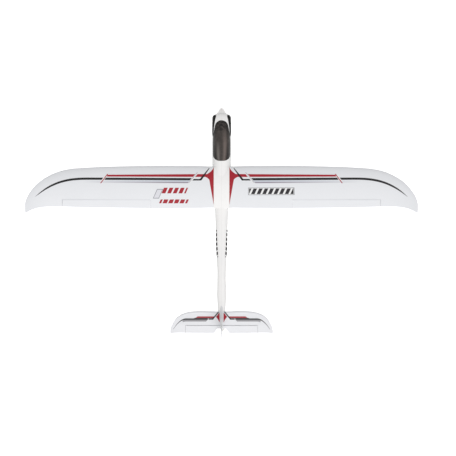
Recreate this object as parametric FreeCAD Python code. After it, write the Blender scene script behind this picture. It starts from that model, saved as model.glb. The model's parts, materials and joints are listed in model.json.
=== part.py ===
"""A 1.8 m foam radio-control glider, drawn as the pieces it is built from.

Frame: X along the span (the pilot's left wing is +X), Y aft, Z up, in millimetres.
Lengths along the fuselage are stations, measured aft from the nose tip; y_at() turns
a station into Y, so that the origin lies under the middle of the box on the ground.
"""
import FreeCAD, Part
import math
import os
from FreeCAD import Vector

# ---- overall sizes ----------------------------------------------------------------
LENGTH = 1084.0             # nose tip to the rudder's trailing edge
SEMI_SPAN = 900.0
DIHEDRAL = math.radians(4.0)

# ---- fuselage: station, half width, lowest z, highest z ----------------------------
NOSE_JOINT = 27.0           # station where the nose cone meets the fuselage
NOSE_Z = 46.0
NOSE_RADIUS = 22.5
BOOM_FRONT = 478.0          # the boom runs from the wing's trailing edge to the tail post
RUDDER_HINGE = LENGTH - 42.0
HINGE_GAP = 0.3             # foam surfaces stand this far from their hinge line
TAIL_POST = RUDDER_HINGE - HINGE_GAP
BOOM = TAIL_POST - BOOM_FRONT
HULL = [
    (NOSE_JOINT, 23.0, 23.0, 69.0),
    (32.0, 32.0, 16.5, 74.0),
    (38.0, 40.5, 11.5, 78.0),
    (50.0, 44.2, 7.5, 83.0),
    (80.0, 45.0, 4.6, 90.5),
    (130.0, 45.0, 3.2, 103.5),
    (190.0, 44.6, 3.0, 116.0),
    (240.0, 44.2, 3.6, 118.0),
    (290.0, 44.0, 6.0, 116.5),
    (350.0, 42.8, 11.0, 113.5),
    (415.0, 38.5, 18.0, 107.5),
    (BOOM_FRONT, 32.8, 25.0, 101.0),
    (BOOM_FRONT + 0.18 * BOOM, 28.4, 34.0, 94.0),
    (BOOM_FRONT + 0.40 * BOOM, 24.2, 40.0, 89.5),
    (BOOM_FRONT + 0.64 * BOOM, 20.9, 43.5, 86.5),
    (TAIL_POST - 90, 17.8, 45.5, 84.5),
    (TAIL_POST - 42, 13.0, 46.5, 83.5),
    (TAIL_POST, 5.5, 47.5, 82.5),
]
HULL_POWER = 2.4            # superellipse exponent of every hull section
WALL = 8.0                  # foam wall of the hull
CAVITY_FRONT = 245.0        # the space under the wing, behind the equipment bay
CAVITY_REAR = 560.0

# ---- canopy ------------------------------------------------------------------------
CANOPY_PLAN = [             # half outline from above: half width, station
    (0.0, 63.6), (17.0, 68.2), (26.8, 78.0), (32.0, 94.0), (36.0, 114.0), (39.4, 137.0),
    (41.0, 170.0), (41.4, 210.0), (37.5, 238.0), (23.0, 252.5), (0.0, 256.0),
]
CANOPY_LEDGE_Z = 68.0
CANOPY_LEDGE = 8.0          # width of the step that the canopy stands on
CANOPY_GAP = 0.4
CANOPY_WALL = 3.0
CANOPY_LIFT_GAP = 0.3
FRAME_HEIGHT = 2.7
PEG_RADIUS = 2.0
PEG_DEPTH = 9.0
PEG_STATIONS = (67.9, 251.9)
RUN_GAP = 0.05              # radial clearance of a pin that turns or slides

# ---- wing: share of the panel, leading edge, trailing edge, thickness, extra rise ---
WING_ROOT_X = 35.0
WING_Z = 100.0              # chord line at the root
PANEL = SEMI_SPAN - WING_ROOT_X
WING = [
    (0.0, 279.5, 474.6, 20.0, 0.0),
    (0.145, 278.8, 475.6, 19.8, 0.0),
    (0.29, 278.8, 476.4, 19.3, 0.0),
    (0.42, 280.4, 475.8, 18.6, 0.0),
    (0.527, 282.7, 474.8, 17.8, 0.0),
    (0.632, 286.2, 473.2, 16.6, 0.0),
    (0.738, 292.4, 471.2, 15.0, 0.2),
    (0.791, 299.2, 470.0, 13.9, 0.7),
    (0.843, 312.6, 469.2, 12.4, 2.0),
    (0.895, 335.8, 470.6, 10.3, 4.8),
    (0.938, 364.0, 476.4, 8.1, 8.9),
    (0.968, 394.5, 485.6, 6.0, 13.2),
    (0.99, 427.0, 495.5, 3.8, 17.4),
    (1.0, 458.0, 492.0, 1.6, 20.0),
]
FAIR_BAY = 0.1              # bays of the wing longer than this share get a middle section
CAMBER = 0.03
CAMBER_PEAK = 0.4
EDGE_THICKNESS = 1.6        # thickness of the wing's trailing edge
RIB = 1.5
TUBE_STATION = 340.0
TUBE_RADIUS = 5.0
TUBE_WALL = 1.0
TUBE_END_X = 440.0
TUBE_START_X = 2.5
TUBE_RISE = 5.7             # height of the spar tube above the chord line

# ---- ailerons ----------------------------------------------------------------------
AILERON_X = (329.0, 733.0)
AILERON_HINGE = 437.4
END_GAP = 0.5
LINK_X = 412.0              # plane of the aileron's horn and servo arm
LINK_LENGTH = 52.0
LINK_DROP = 3.2             # servo axis below the hinge line
AILERON_ARM = 16.0
AILERON_SKIN = 9.0          # underside of the aileron below its hinge line, at the horn
WIRE_OFFSET = 2.8           # wire beside the plane of horn and arm

# ---- tail --------------------------------------------------------------------------
TAIL_Z = 82.0
TAIL_HALF = 4.25            # half thickness of the tailplane at the middle
TAILPLANE = [               # share of the half span, leading and trailing edge, half thickness
    (0.0, -64.5, 37.5, TAIL_HALF), (0.573, -64.5, 36.9, 3.9), (0.71, -57.9, 36.3, 3.6),
    (0.809, -47.1, 36.1, 3.2), (0.888, -31.5, 36.3, 2.7), (0.954, -6.5, 37.7, 1.9),
    (1.0, 25.5, 38.7, 0.9),
]                           # stations are counted from the elevator's hinge line
TAIL_SEMI_SPAN = 241.0
ELEVATOR_HINGE = RUDDER_HINGE - 19.5
ELEVATOR_X = 168.0
NOTCH = [(19.5, RUDDER_HINGE - 3.0), (37.0, RUDDER_HINGE + 20.5)]   # half width, station
FIN_HALF = 4.2
FIN = [                     # z, leading edge, trailing edge, from the rudder's hinge line
    (76.0, -124.0, 41.4), (88.0, -104.0, 42.0), (100.0, -83.0, 42.0),
    (120.0, -63.0, 41.6), (150.0, -50.0, 40.4), (190.0, -40.0, 37.4),
    (225.0, -32.0, 32.6), (248.0, -24.5, 26.6), (260.0, -16.0, 19.5),
]
RUDDER_FOOT = [(38.0, 26.0), (50.0, 36.0), (76.0, 41.4)]   # z, trailing edge
EDGE_HALF = 0.7             # half thickness of the tail's trailing edges
BEVEL = math.radians(28.0)
RELIEF = (66.0, 97.0)       # z range kept free around the middle of the elevator
RELIEF_FRONT = ELEVATOR_HINGE - 3.5
ELEVATOR_ARM = 12.0
RUDDER_ARM = 11.0
ELEVATOR_TRAVEL = math.radians(20.0)
RUDDER_TRAVEL = math.radians(25.0)
ELEVATOR_LINK_X = 18.0
RUDDER_LINK_Z = 58.0

# ---- linkage parts -----------------------------------------------------------------
WIRE = 0.5
BLADE = 1.6                 # thickness of horns and servo arms
BARREL = 2.2
SNAKE_RADIUS = 1.5
SNAKE_FRONT = 420.0
ELEVATOR_SNAKE_END = RUDDER_HINGE - 114.0
RUDDER_SNAKE_END = RUDDER_HINGE - 57.0
SWING_GAP = 0.1             # room left beyond the arc that a pivot hole runs through

# ---- servos ------------------------------------------------------------------------
SERVO_LENGTH = 22.8
SERVO_WIDTH = 12.0
SERVO_HEIGHT = 22.5
SERVO_SHAFT_IN = 6.0        # output shaft to the near end of the case
SERVO_BOSS = 3.6
SERVO_BOSS_RADIUS = 5.4
SHAFT_RADIUS = 2.2
TAB = 5.0
TAB_DROP = 8.0
TAB_THICKNESS = 1.5
ARM_RISE = 4.0              # arm's underside above the case's top
SERVO_STATION = 330.0
SERVO_X = 20.0
SERVO_TOP = 58.0

# ---- equipment ---------------------------------------------------------------------
TRAY_Z = 20.0
TRAY = 2.0
BATTERY = (34.0, 68.0, 18.0)
BATTERY_STATION = 93.0
RECEIVER = (22.0, 46.0, 13.0)
RECEIVER_STATION = 182.0
BALL_RADIUS = 6.5
BALL_STATION = 41.0
STIFFENER = 2.5
SKID_HALF = 11.0
SKID_STATIONS = (112.0, 292.0)
SKID_THIN = 1.6             # half thickness of the tail skid
HOOK_STATION = 346.0
HOOK_WIRE = 1.25
HOOK_Z = 3.6                # axis of the hook's prong
HOOK_REACH = 11.0           # free length of the prong behind its shoulder
LEAD_RADIUS = 1.1
LEAD_BEND = 8.0
SCREW_STATIONS = (RUDDER_HINGE - 67.0, RUDDER_HINGE - 35.0)
SCREW_RADIUS = 1.5

FAR = 2000.0


def y_at(station):
    return station - LENGTH / 2


def point(x, station, z):
    return Vector(x, y_at(station), z)


def box(low, high):
    """A box between two corners given as (x, station, z)."""
    size = [high[i] - low[i] for i in range(3)]
    return Part.makeBox(size[0], size[1], size[2], point(*low))


def rod(start, end, radius):
    return Part.makeCylinder(radius, (end - start).Length, start, end - start)


def tube(start, end, outer, inner):
    return rod(start, end, outer).cut(rod(start, end, inner))


def along(start, end, station):
    """The point on the line from start to end at a station."""
    share = (y_at(station) - start.y) / (end.y - start.y)
    return start + (end - start) * share


def mirrored(shape):
    return shape.mirror(Vector(0, 0, 0), Vector(1, 0, 0))


def prism(points, direction):
    return Part.Face(Part.makePolygon(points + [points[0]])).extrude(direction)


def export(name, shape):
    shape.exportStep(os.path.join("parts", name + ".step"))


# ---- hull --------------------------------------------------------------------------
def hull_wire(station, half_width, z_low, z_high, inset):
    """A closed superellipse section, drawn in from the outer surface by inset."""
    middle = (z_low + z_high) / 2
    half_height = (z_high - z_low) / 2 - inset
    points = []
    for step in range(28):
        turn = 2 * math.pi * step / 28
        across, up = math.cos(turn), math.sin(turn)
        x = math.copysign(abs(across) ** (2 / HULL_POWER), across) * (half_width - inset)
        z = math.copysign(abs(up) ** (2 / HULL_POWER), up) * half_height
        points.append(point(x, station, middle + z))
    curve = Part.BSplineCurve()
    curve.interpolate(points, PeriodicFlag=True)
    return Part.Wire([curve.toShape()])


def hull(inset=0.0):
    """The whole outer shape of fuselage and canopy, or a smaller one inside it."""
    return Part.makeLoft([hull_wire(*row, inset) for row in HULL], True, False)


def canopy_prism(inset, z_low, z_high):
    """An upright block with the canopy's outline from above, drawn in by inset."""
    half = []
    (ahead_x, ahead), (behind_x, behind) = CANOPY_PLAN[1], CANOPY_PLAN[-2]
    row = [(-ahead_x, ahead)] + CANOPY_PLAN + [(-behind_x, behind)]
    for before, (x, station), after in zip(row, row[1:], row[2:]):
        run, rise = after[0] - before[0], after[1] - before[1]
        size = math.hypot(run, rise)
        half.append((x - inset * rise / size, station + inset * run / size))
    left = [point(x, s, z_low) for x, s in half]
    right = [point(-x, s, z_low) for x, s in reversed(half[1:-1])]
    curve = Part.BSplineCurve()
    curve.interpolate(left + right, PeriodicFlag=True)
    outline = Part.Wire([curve.toShape()])
    return Part.Face(outline).extrude(Vector(0, 0, z_high - z_low))


def nose_cone():
    """A rounded cone whose radius grows with the 0.62 power of the station."""
    rows = [(0.0, 0.0)]
    for step in range(1, 9):
        station = NOSE_JOINT * (step / 8) ** 1.6
        rows.append((station, NOSE_RADIUS * (station / NOSE_JOINT) ** 0.62))
    curve = Part.BSplineCurve()
    curve.interpolate([point(r, s, NOSE_Z) for s, r in rows])
    rear, spigot = point(0, NOSE_JOINT, NOSE_Z), point(NOSE_RADIUS, NOSE_JOINT, NOSE_Z)
    edges = [curve.toShape(), Part.makeLine(spigot, rear)]
    edges.append(Part.makeLine(rear, point(0, 0, NOSE_Z)))
    face = Part.Face(Part.Wire(edges))
    return face.revolve(point(0, 0, NOSE_Z), Vector(0, 1, 0), 360)


def cavities(inner):
    """The equipment bay below the canopy and the space under the wing."""
    bay = inner.common(canopy_prism(CANOPY_LEDGE, 0, CANOPY_LEDGE_Z))
    rear = inner.common(box((-FAR, CAVITY_FRONT - CANOPY_LEDGE, 0), (FAR, CAVITY_REAR, 400)))
    return bay, rear


# ---- wing --------------------------------------------------------------------------
def airfoil_wire(share, leading, trailing, thickness, rise):
    """One cambered section as a spline over the nose and a short closing edge."""
    x = WING_ROOT_X + share * PANEL
    chord = trailing - leading
    ratio = thickness / chord
    edge = min(EDGE_THICKNESS, thickness / 2) / 2
    base = WING_Z + (x - WING_ROOT_X) * math.tan(DIHEDRAL) + rise
    camber = CAMBER * min(1.0, thickness / 12)
    steps = 14
    upper, lower = [], []
    for step in range(steps + 1):
        t = 1 - math.cos(math.pi / 2 * step / steps)
        if t < CAMBER_PEAK:
            line = camber * (1 - (1 - t / CAMBER_PEAK) ** 2)
        else:
            line = camber * (1 - ((t - CAMBER_PEAK) / (1 - CAMBER_PEAK)) ** 2)
        half = 5 * ratio * (0.2969 * math.sqrt(t) - 0.126 * t - 0.3516 * t ** 2
                            + 0.2843 * t ** 3 - 0.1036 * t ** 4)
        upper.append(point(x, leading + chord * t, base + chord * (line + half) + edge * t))
        lower.append(point(x, leading + chord * t, base + chord * (line - half) - edge * t))
    curve = Part.BSplineCurve()
    curve.interpolate(upper[::-1] + lower[1:])
    return Part.Wire([curve.toShape(), Part.makeLine(lower[-1], upper[-1])])


def wing_panel():
    """The panel's loft, with an added section halfway along each long bay to keep it fair."""
    rows = [WING[0]]
    for before, after in zip(WING, WING[1:]):
        if after[0] - before[0] > FAIR_BAY:
            rows.append([(a + b) / 2 for a, b in zip(before, after)])
        rows.append(after)
    return Part.makeLoft([airfoil_wire(*row) for row in rows], True, False)


def wing_centre():
    """The fuselage's flat-topped middle, level with the two panels."""
    root = airfoil_wire(*WING[0])
    return Part.Face(root).extrude(Vector(-2 * WING_ROOT_X, 0, 0))


def top_of(shape, x, station):
    """Height of a shape's upper surface at one place."""
    cut = shape.common(Part.makeLine(point(x, station, -10), point(x, station, 400)))
    return cut.BoundBox.ZMax


def tube_line(x):
    rise = (x - WING_ROOT_X) * math.tan(DIHEDRAL)
    return point(x, TUBE_STATION, WING_Z + TUBE_RISE + rise)


def hinge_frame(panel):
    """Placement whose X is the left aileron's hinge line, with its origin at the horn."""
    start = point(AILERON_X[0], AILERON_HINGE, top_of(panel, AILERON_X[0], AILERON_HINGE))
    end = point(AILERON_X[1], AILERON_HINGE, top_of(panel, AILERON_X[1], AILERON_HINGE))
    axis = (end - start).normalize()
    origin = start + axis * ((LINK_X - AILERON_X[0]) / axis.x)
    turn = FreeCAD.Rotation(Vector(1, 0, 0), axis)
    return FreeCAD.Placement(origin, turn)


def placed(shape, frame):
    copy = shape.copy()
    copy.Placement = frame.multiply(copy.Placement)
    return copy


def local_box(low, high):
    return Part.makeBox(high[0] - low[0], high[1] - low[1], high[2] - low[2], Vector(*low))


def aileron_blocks(frame):
    """Two blocks about the hinge: what the aileron keeps, and what the wing loses."""
    inner, outer = AILERON_X[0] - LINK_X, AILERON_X[1] - LINK_X
    slope = 16 * math.tan(BEVEL)
    keep = [Vector(inner + END_GAP, HINGE_GAP, 8), Vector(inner + END_GAP, HINGE_GAP, 0),
            Vector(inner + END_GAP, HINGE_GAP + slope, -16), Vector(inner + END_GAP, 70, -16),
            Vector(inner + END_GAP, 70, 8)]
    kept = prism(keep, Vector(outer - inner - 2 * END_GAP, 0, 0))
    lost = local_box((inner, -HINGE_GAP, -20), (outer, 70, 12))
    return placed(kept, frame), placed(lost, frame)


# ---- servos and horns --------------------------------------------------------------
def servo(margin=0.0):
    """A small servo: output axis along +Z, case top at z = 0, length along +Y."""
    side = SERVO_WIDTH / 2 + margin
    near, far = -SERVO_SHAFT_IN - margin, SERVO_LENGTH - SERVO_SHAFT_IN + margin
    case = local_box((-side, near, -SERVO_HEIGHT - margin), (side, far, margin))
    tabs = local_box((-side, near - TAB, -TAB_DROP - margin),
                     (side, far + TAB, -TAB_DROP + TAB_THICKNESS + margin))
    boss = Part.makeCylinder(SERVO_BOSS_RADIUS + margin, SERVO_BOSS)
    body = case.fuse([tabs, boss])
    if not margin:
        bore = Part.makeCylinder(SHAFT_RADIUS + RUN_GAP, SERVO_BOSS + 2, Vector(0, 0, -2))
        body = body.cut(bore)
        for hole_y in (near - TAB / 2, far + TAB / 2):
            body = body.cut(Part.makeCylinder(1.0, 12, Vector(0, hole_y, -TAB_DROP - 4)))
    return body.removeSplitter()


def servo_arm(reach, hole):
    """An arm along -X on its output shaft, which runs down into the case."""
    shaft = Part.makeCylinder(SHAFT_RADIUS, ARM_RISE + 1, Vector(0, 0, -1))
    hub = Part.makeCylinder(3.4, BLADE + 1.2, Vector(0, 0, ARM_RISE))
    outline = [Vector(0, 3, ARM_RISE), Vector(-reach, 2.3, ARM_RISE),
               Vector(-reach, -2.3, ARM_RISE), Vector(0, -3, ARM_RISE)]
    blade = prism(outline, Vector(0, 0, BLADE))
    tip = Part.makeCylinder(2.3, BLADE, Vector(-reach, 0, ARM_RISE))
    arm = shaft.fuse([hub, blade, tip])
    bore = Part.makeCylinder(hole, 6, Vector(-reach, 0, ARM_RISE - 2))
    return arm.cut(bore).removeSplitter()


def horn(reach, foot, skin, hole):
    """A control horn in the YZ plane below a surface that lies at z = -skin.

    Its hole is straight below the hinge line, which is the local X axis.
    """
    half = BLADE / 2
    outline = [Vector(-half, foot, -skin), Vector(-half, foot + 11, -skin),
               Vector(-half, 2.0, -reach - 1.4), Vector(-half, -2.0, -reach + 1.4)]
    blade = prism(outline, Vector(BLADE, 0, 0))
    tip = Part.makeCylinder(2.4, BLADE, Vector(-half, 0, -reach), Vector(1, 0, 0))
    plate = local_box((-4.5, foot - 1.5, -skin - 1.2), (4.5, foot + 13, -skin))
    body = blade.fuse([tip, plate])
    return body.cut(Part.makeCylinder(hole, 8, Vector(-4, 0, -reach), Vector(1, 0, 0)))


def connector(offset, wire_hole, shank=0.75):
    """A barrel on a shank through a horn: shank along X, cross hole along Y.

    The wire passes at x = offset; the shank ends on the horn's far side.
    """
    barrel = Part.makeCylinder(BARREL, 4.4, Vector(offset - 1.7, 0, 0), Vector(1, 0, 0))
    stem = Part.makeCylinder(shank, offset + 1.2, Vector(-2.2, 0, 0), Vector(1, 0, 0))
    keeper = Part.makeCylinder(1.7, 0.8, Vector(-BLADE / 2 - 1.2, 0, 0), Vector(1, 0, 0))
    body = barrel.fuse([stem, keeper])
    cross = Part.makeCylinder(wire_hole, 8, Vector(offset, -4, 0), Vector(0, 1, 0))
    screw = Part.makeCylinder(1.0, 1.6, Vector(offset + 1.7, 0, 0), Vector(1, 0, 0))
    return body.cut(cross).fuse(screw).removeSplitter()


# ---- tail --------------------------------------------------------------------------
def plate_wire(place, leading, hinge, trailing, half):
    """A plate section: round nose, flat sides to the hinge line, taper to the edge."""
    nose = min(2.6 * half, (hinge - leading) * 0.8)
    shoulder = leading + nose
    top, bottom = place(shoulder, half), place(shoulder, -half)
    diagonal = nose * (1 - math.sqrt(0.5))
    arc = Part.BSplineCurve()
    arc.interpolate([bottom, place(leading + diagonal, -half * math.sqrt(0.5)), place(leading, 0),
                     place(leading + diagonal, half * math.sqrt(0.5)), top])
    corners = [top, place(hinge, half), place(trailing, EDGE_HALF), place(trailing, -EDGE_HALF),
               place(hinge, -half), bottom]
    sides = [Part.makeLine(a, b) for a, b in zip(corners, corners[1:])]
    return Part.Wire([arc.toShape()] + sides)


def tailplane_blank():
    rows = [(-share, *rest) for share, *rest in reversed(TAILPLANE[1:])] + TAILPLANE
    wires = []
    for share, ahead, behind, half in rows:
        leading, trailing = ELEVATOR_HINGE + ahead, ELEVATOR_HINGE + behind
        hinge = max(ELEVATOR_HINGE, leading + 4)
        x = share * TAIL_SEMI_SPAN

        def place(station, up, x=x):
            return point(x, station, TAIL_Z + up)
        wires.append(plate_wire(place, leading, hinge, trailing, half))
    return Part.makeLoft(wires, True, False)


def fin_blank(rows):
    wires = []
    for z, ahead, behind in rows:
        leading, trailing = RUDDER_HINGE + ahead, RUDDER_HINGE + behind
        half = FIN_HALF if z < 190 else FIN_HALF * (1 - 0.35 * (z - 190) / 70)

        def place(station, across, z=z):
            return point(across, station, z)
        wires.append(plate_wire(place, leading, RUDDER_HINGE, trailing, half))
    return Part.makeLoft(wires, True, False)


def double_bevel(station, wide, z_low, z_high):
    """A wedge behind an upright hinge line, open aft, for the rudder."""
    run = wide * math.tan(BEVEL)
    first = station + HINGE_GAP
    outline = [point(0, first, z_low), point(wide, first + run, z_low), point(wide, station + 80, z_low),
               point(-wide, station + 80, z_low), point(-wide, first + run, z_low)]
    return prism(outline, Vector(0, 0, z_high - z_low))


def elevator_block():
    """Everything behind the elevator's hinge line and between its end cuts."""
    first, run = ELEVATOR_HINGE + HINGE_GAP, 10 * math.tan(BEVEL)
    left = -ELEVATOR_X + END_GAP
    outline = [point(left, first, TAIL_Z), point(left, first + run, TAIL_Z + 10),
               point(left, first + 60, TAIL_Z + 10), point(left, first + 60, TAIL_Z - 10),
               point(left, first + run, TAIL_Z - 10)]
    block = prism(outline, Vector(2 * ELEVATOR_X - 2 * END_GAP, 0, 0))
    (narrow, front), (wide, rear) = NOTCH
    notch = [point(-narrow, front, 0), point(narrow, front, 0), point(wide, rear, 0),
             point(-wide, rear, 0)]
    return block.cut(prism(notch, Vector(0, 0, 200)))


def elevator_wire():
    """Ends of the elevator wire, at the mean height of the arcs that its ends follow."""
    sag = ELEVATOR_ARM * (1 - math.cos(ELEVATOR_TRAVEL)) / 2
    front = point(SERVO_X - ELEVATOR_ARM + sag, SERVO_STATION, SERVO_TOP + ARM_RISE + BLADE + 1)
    return front, point(ELEVATOR_LINK_X, ELEVATOR_HINGE, TAIL_Z - ELEVATOR_ARM + sag), sag


def rudder_wire():
    sag = RUDDER_ARM * (1 - math.cos(RUDDER_TRAVEL)) / 2
    front = point(-SERVO_X + RUDDER_ARM - sag, SERVO_STATION, SERVO_TOP + ARM_RISE + BLADE + 1)
    return front, point(-RUDDER_ARM + sag, RUDDER_HINGE, RUDDER_LINK_Z), sag


def pushrod(front, rear, leg):
    """A wire from a bent leg in the servo arm to a little past the far connector."""
    way = (rear - front).normalize()
    straight = rod(front, rear + way * 6, WIRE)
    return straight.fuse([rod(front, front - leg, WIRE), Part.makeSphere(WIRE, front)])


def lead(points, radius, bend):
    """A cable: straight runs joined by tangent arcs."""
    edges, start = [], points[0]
    for before, corner, after in zip(points, points[1:], points[2:]):
        into, out = (corner - before).normalize(), (after - corner).normalize()
        half_turn = into.getAngle(out) / 2
        reach = bend * math.tan(half_turn)
        first, last = corner - into * reach, corner + out * reach
        bulge = (out - into).normalize() * (bend / math.cos(half_turn) - bend)
        edges.append(Part.makeLine(start, first))
        edges.append(Part.Arc(first, corner + bulge, last).toShape())
        start = last
    edges.append(Part.makeLine(start, points[-1]))
    path = Part.Wire(edges)
    circle = Part.makeCircle(radius, points[0], points[1] - points[0])
    return path.makePipeShell([Part.Wire([circle])], True, False)


def wing_lead_routes():
    """Routes of the two aileron leads, from the wing roots forward to the receiver."""
    plug = RECEIVER_STATION + RECEIVER[1]
    plug_z = TRAY_Z + TRAY + RECEIVER[2] / 2
    return [[point(side * 29, 392, WING_Z - 7), point(side * 30.5, 366, 68),
             point(side * 30.5, 302, 55), point(side * 14, 272, 42),
             point(side * 3.5, 252, plug_z + 6), point(side * 3.5, plug, plug_z)]
            for side in (1, -1)]


# ---- the assemblies ----------------------------------------------------------------
def make_fuselage(outer, panel, tailplane):
    """Hull halves with the pieces that lie inside them or on them."""
    bay, rear = cavities(hull(WALL))
    centre = wing_centre()
    body = outer.fuse(centre).cut(panel).cut(mirrored(panel))
    body = body.cut(canopy_prism(0, CANOPY_LEDGE_Z, 400)).cut(bay).cut(rear)
    body = body.cut(tailplane)
    relief = box((-40, RELIEF_FRONT, RELIEF[0]), (40, LENGTH, 200))
    body = body.cut(relief)

    tray_space = bay.common(box((-FAR, 50, TRAY_Z), (FAR, 250, TRAY_Z + TRAY)))
    export("equipment_tray", tray_space)
    shelf_z = SERVO_TOP - TAB_DROP
    shelf = rear.common(box((-FAR, 296, shelf_z - TRAY), (FAR, 362, shelf_z)))

    balls = [Part.makeSphere(BALL_RADIUS, point(0, BALL_STATION, NOSE_Z + k * 14.5))
             for k in (-1, 0, 1)]
    pockets = [Part.makeSphere(BALL_RADIUS + RUN_GAP, point(0, BALL_STATION, NOSE_Z + k * 14.5))
               for k in (-1, 0, 1)]
    body = body.cut(pockets)
    export("trim_balls", Part.makeCompound(balls))

    flank = (point(41.0, 96, 52), point(36.0, 404, 60))
    spine = (point(0, CAVITY_REAR + 15, 66), point(0, SCREW_STATIONS[0] - 25, 66))
    runs = [flank, tuple(Vector(-p.x, p.y, p.z) for p in flank), spine]
    radii = [STIFFENER, STIFFENER, 4.0]
    stiffeners = [tube(a, b, r, r - 0.8) for (a, b), r in zip(runs, radii)]
    body = body.cut([rod(a, b, r) for (a, b), r in zip(runs, radii)])
    export("fuselage_stiffeners", Part.makeCompound(stiffeners))

    holder = box((-WING_ROOT_X, TUBE_STATION - 9, WING_Z - 2.6),
                 (WING_ROOT_X, TUBE_STATION + 9, WING_Z + 12.2))
    body = body.cut(holder)
    sockets = [rod(tube_line(TUBE_START_X), tube_line(60), TUBE_RADIUS)]
    sockets.append(mirrored(sockets[0]))
    export("spar_holder", holder.cut(sockets))

    lock = box((20, 414, WING_Z - 2), (WING_ROOT_X - 0.5, 438, WING_Z + 6))
    tongue = box((22, 420, WING_Z + 1), (WING_ROOT_X, 432, WING_Z + 4))
    clip = lock.cut(box((20, 419.9, WING_Z + 0.9), (WING_ROOT_X, 432.1, WING_Z + 6)))
    body = body.cut([lock, mirrored(lock), tongue, mirrored(tongue)])
    export("wing_locks", Part.makeCompound([clip, mirrored(clip)]))

    clips = [box((-4, s - 4, CANOPY_LEDGE_Z - PEG_DEPTH - 2), (4, s + 4, CANOPY_LEDGE_Z))
             for s in PEG_STATIONS]
    body = body.cut(clips)
    sleeves = [c.cut(rod(point(0, s, 0), point(0, s, 200), PEG_RADIUS + RUN_GAP))
               for c, s in zip(clips, PEG_STATIONS)]
    export("canopy_clips", Part.makeCompound(sleeves))

    skid_block = box((-SKID_HALF, SKID_STATIONS[0], 0), (SKID_HALF, SKID_STATIONS[1], 30))
    edges = [e for e in skid_block.Edges if abs(e.BoundBox.ZLength - 30) < 0.1]
    skid = skid_block.makeFillet(SKID_HALF * 0.9, edges)
    skid = skid.common(box((-FAR, 0, 0), (FAR, 400, 4.4))).cut(outer)
    export("belly_skid", max(skid.Solids, key=lambda s: s.Volume))

    hook_z = hull_floor(outer, HOOK_STATION)
    plate = box((-5, HOOK_STATION - 14, hook_z - 1), (5, HOOK_STATION + 10, hook_z + 4))
    knee, root = point(0, HOOK_STATION, HOOK_Z), point(0, HOOK_STATION + 2, HOOK_Z)
    leg = rod(point(0, HOOK_STATION, hook_z), knee, HOOK_WIRE)
    shoulder = rod(knee, root, HOOK_WIRE * 1.8)
    prong = rod(root, point(0, HOOK_STATION + 2 + HOOK_REACH, HOOK_Z), HOOK_WIRE)
    hook = plate.fuse([leg, shoulder, prong])
    body = body.cut(plate)
    export("tow_hook", hook.removeSplitter())

    foot_top = hull_floor(outer, RUDDER_HINGE - 32) + 2
    foot = [point(-SKID_THIN, RUDDER_HINGE - ahead, z)
            for ahead, z in ((58, foot_top), (4, foot_top), (7, 24), (20, 21), (34, 32))]
    tail_skid = prism(foot, Vector(2 * SKID_THIN, 0, 0))
    body = body.cut(tail_skid)
    export("tail_skid", tail_skid)

    screws, shafts = [], []
    for station in SCREW_STATIONS:
        head = rod(point(0, station, 56), point(0, station, 59), SCREW_RADIUS * 1.9)
        shaft = rod(point(0, station, 59), point(0, station, TAIL_Z + 12), SCREW_RADIUS)
        screws.append(head.fuse(shaft).removeSplitter())
        shafts.append(rod(point(0, station, 59), point(0, station, TAIL_Z + 12), SCREW_RADIUS + 0.1))
        body = body.cut([shafts[-1], rod(point(0, station, 0), point(0, station, 59), 3.2)])
    export("tail_screws", Part.makeCompound(screws))

    for ends, stop, name in ((elevator_wire(), ELEVATOR_SNAKE_END, "elevator"),
                             (rudder_wire(), RUDDER_SNAKE_END, "rudder")):
        front, back, _ = ends
        begin, finish = along(front, back, SNAKE_FRONT), along(front, back, stop)
        export(name + "_guide_tube", tube(begin, finish, SNAKE_RADIUS, WIRE + 0.1))
        body = body.cut([rod(begin, finish, SNAKE_RADIUS), rod(finish, back, 2.6)])
    body = body.cut([lead(route, LEAD_RADIUS + 0.3, LEAD_BEND) for route in wing_lead_routes()])

    export("fuselage_left", body.common(box((0, -10, -50), (FAR, FAR, 400))))
    export("fuselage_right", body.common(box((-FAR, -10, -50), (0, FAR, 400))))
    return shelf, shafts


def hull_floor(outer, station):
    cut = outer.common(Part.makeLine(point(0, station, -50), point(0, station, 60)))
    return cut.BoundBox.ZMin


def make_canopy(outer):
    """Dark hood on a flat frame, with two pegs that drop into the hull's clips."""
    low = CANOPY_LEDGE_Z + CANOPY_LIFT_GAP
    top = low + FRAME_HEIGHT
    shell = outer.common(canopy_prism(CANOPY_GAP, top, 400))
    hollow = hull(CANOPY_WALL).common(canopy_prism(CANOPY_GAP + CANOPY_WALL, 0, 400))
    export("canopy_shell", shell.cut(hollow))
    ring = canopy_prism(CANOPY_GAP, low, top)
    window = canopy_prism(CANOPY_LEDGE, low - 1, top + 1)
    export("canopy_frame", ring.cut(window))
    pegs = [rod(point(0, s, low), point(0, s, low - PEG_DEPTH), PEG_RADIUS) for s in PEG_STATIONS]
    export("canopy_pegs", Part.makeCompound(pegs))


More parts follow.
